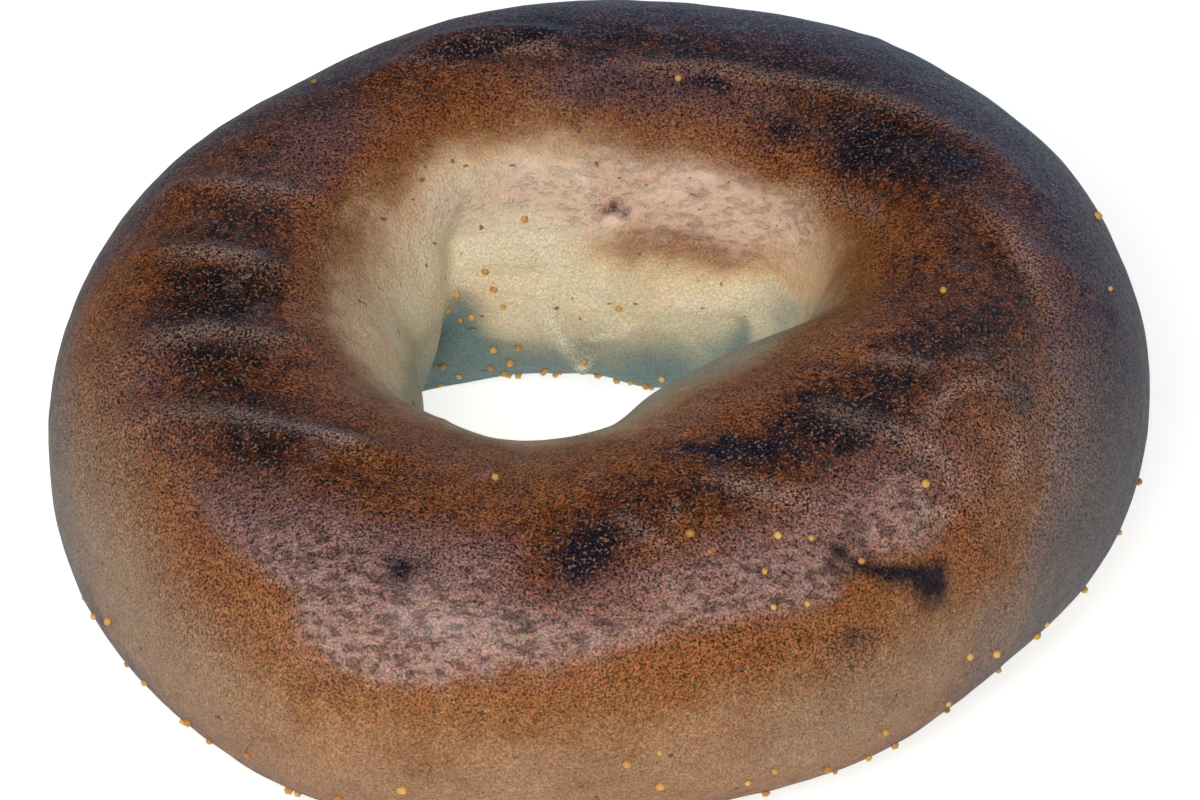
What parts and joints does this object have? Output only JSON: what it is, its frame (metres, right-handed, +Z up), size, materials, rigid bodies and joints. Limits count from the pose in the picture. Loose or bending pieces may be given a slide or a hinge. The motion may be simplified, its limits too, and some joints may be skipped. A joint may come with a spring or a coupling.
{
  "type": "bagel",
  "caption": "Plain baked bagel: an uneven, browned ring of bread with a paler, ledged hole and cornmeal stuck to it.",
  "frame": {"origin": "middle of the flat underside, on the surface that the bagel lies on", "axes": "+Z up, out of the browned top; +Y towards the flat wall of the hole, with its joined corner between -X and +Y"},
  "size_m": [0.1098, 0.1078, 0.0371],
  "materials": {
    "crust": "browned, blistered bread crust with a soft sheen, cream-coloured in the hole",
    "cornmeal": "coarse yellow cornmeal grains, matte"
  },
  "bodies": {
    "root": {"bagel": "crust"}
  },
  "joints": []
}
